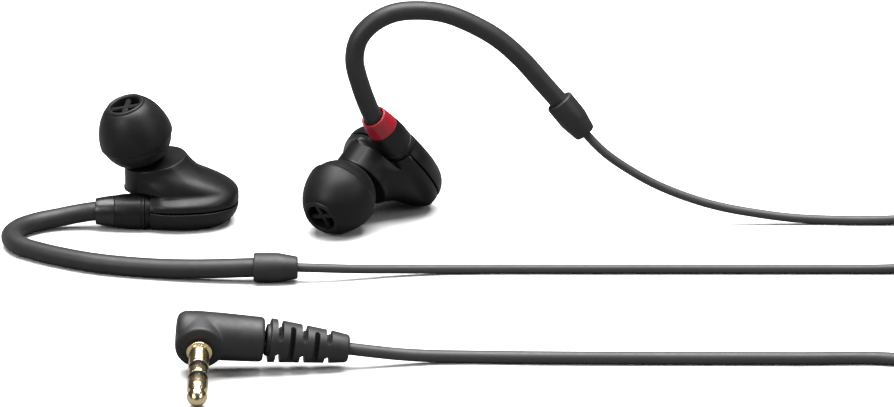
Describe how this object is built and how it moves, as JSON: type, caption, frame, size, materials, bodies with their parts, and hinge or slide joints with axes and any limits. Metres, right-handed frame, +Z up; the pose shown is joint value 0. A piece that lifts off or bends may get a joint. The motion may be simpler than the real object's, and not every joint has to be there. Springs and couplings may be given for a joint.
{
  "type": "in ear monitors",
  "caption": "Pair of in ear monitors with formed over-ear hooks, silicone tips, detachable swivelling earpieces and a cable with an angled 3.5 mm plug.",
  "frame": {"origin": "on the surface that the set lies on, under the middle of the two earpieces and their ear hooks", "axes": "+X along the set, from the left earpiece to the right one and on to the coiled cable; +Y away from the plug, towards the earpieces' backs; +Z up"},
  "size_m": [0.206, 0.1134, 0.0435],
  "materials": {
    "housing_black": "satin moulded plastic",
    "silicone_black": "soft matte silicone",
    "hook_grey": "matte flexible sheath",
    "cable_grey": "smooth matte cable jacket",
    "id_black": "satin moulded plastic",
    "id_red": "satin moulded plastic",
    "overmould_grey": "fine matte overmould",
    "gold": "polished gold plating",
    "steel": "plain",
    "magnet": "nickel plated",
    "copper": "enamelled wire",
    "film": "thin translucent film",
    "insulator_black": "moulded"
  },
  "bodies": {
    "harness": {"left_connector_shell": "housing_black", "left_id_ring": "id_black", "left_pin_barrel": "gold", "left_centre_pin": "gold", "left_ear_hook": "hook_grey", "left_hook_wire": "cable_grey", "left_ferrule": "overmould_grey", "left_lead": "cable_grey", "left_coil": "cable_grey", "left_tail": "cable_grey", "left_tie": "overmould_grey", "right_connector_shell": "housing_black", "right_id_ring": "id_red", "right_pin_barrel": "gold", "right_centre_pin": "gold", "right_ear_hook": "hook_grey", "right_hook_wire": "cable_grey", "right_ferrule": "overmould_grey", "right_lead": "cable_grey", "right_coil": "cable_grey", "right_tail": "cable_grey", "right_tie": "overmould_grey", "main_run": "cable_grey", "main_coil": "cable_grey", "main_tail": "cable_grey", "main_tie": "overmould_grey", "y_split": "overmould_grey", "plug_body": "overmould_grey", "strain_relief": "overmould_grey", "plug_sleeve": "gold", "plug_insulator_rear": "insulator_black", "plug_ring": "gold", "plug_insulator_front": "insulator_black", "plug_tip": "gold"},
    "left_snap_ring": {"left_snap_ring": "steel"},
    "left_earpiece": {"left_inner_shell": "housing_black", "left_faceplate": "housing_black", "left_nozzle": "housing_black", "left_nozzle_mesh": "steel", "left_driver_basket": "steel", "left_driver_magnet": "magnet", "left_voice_coil": "copper", "left_diaphragm": "film", "left_socket_barrel": "steel", "left_socket_contact": "gold"},
    "left_ear_tip": {"left_ear_tip": "silicone_black"},
    "right_snap_ring": {"right_snap_ring": "steel"},
    "right_earpiece": {"right_inner_shell": "housing_black", "right_faceplate": "housing_black", "right_nozzle": "housing_black", "right_nozzle_mesh": "steel", "right_driver_basket": "steel", "right_driver_magnet": "magnet", "right_voice_coil": "copper", "right_diaphragm": "film", "right_socket_barrel": "steel", "right_socket_contact": "gold"},
    "right_ear_tip": {"right_ear_tip": "silicone_black"},
    "chin_slider": {"chin_slider": "overmould_grey"}
  },
  "joints": [
    {"name": "left_swivel", "type": "hinge", "parent": "harness", "child": "left_snap_ring", "pos_m": [-0.02731, 0.00601, 0.0033], "axis": [-1, 0, 0], "continuous": true},
    {"name": "left_unplug", "type": "slide", "parent": "left_snap_ring", "child": "left_earpiece", "axis": [1, 0, 0], "range_m": [0, 0.006]},
    {"name": "left_tip_pull", "type": "slide", "parent": "left_earpiece", "child": "left_ear_tip", "axis": [-0.266, -0.186, 0.9459], "range_m": [0, 0.008]},
    {"name": "right_swivel", "type": "hinge", "parent": "harness", "child": "right_snap_ring", "pos_m": [0.01835, 0.01087, 0.01397], "axis": [-0.4703, -0.4593, 0.7535], "continuous": true},
    {"name": "right_unplug", "type": "slide", "parent": "right_snap_ring", "child": "right_earpiece", "axis": [0.4703, 0.4593, -0.7535], "range_m": [0, 0.006]},
    {"name": "right_tip_pull", "type": "slide", "parent": "right_earpiece", "child": "right_ear_tip", "axis": [-0.5131, -0.747, -0.4227], "range_m": [0, 0.008]},
    {"name": "chin_slide", "type": "slide", "parent": "harness", "child": "chin_slider", "axis": [0, 1, 0], "range_m": [0, 0.014]}
  ]
}
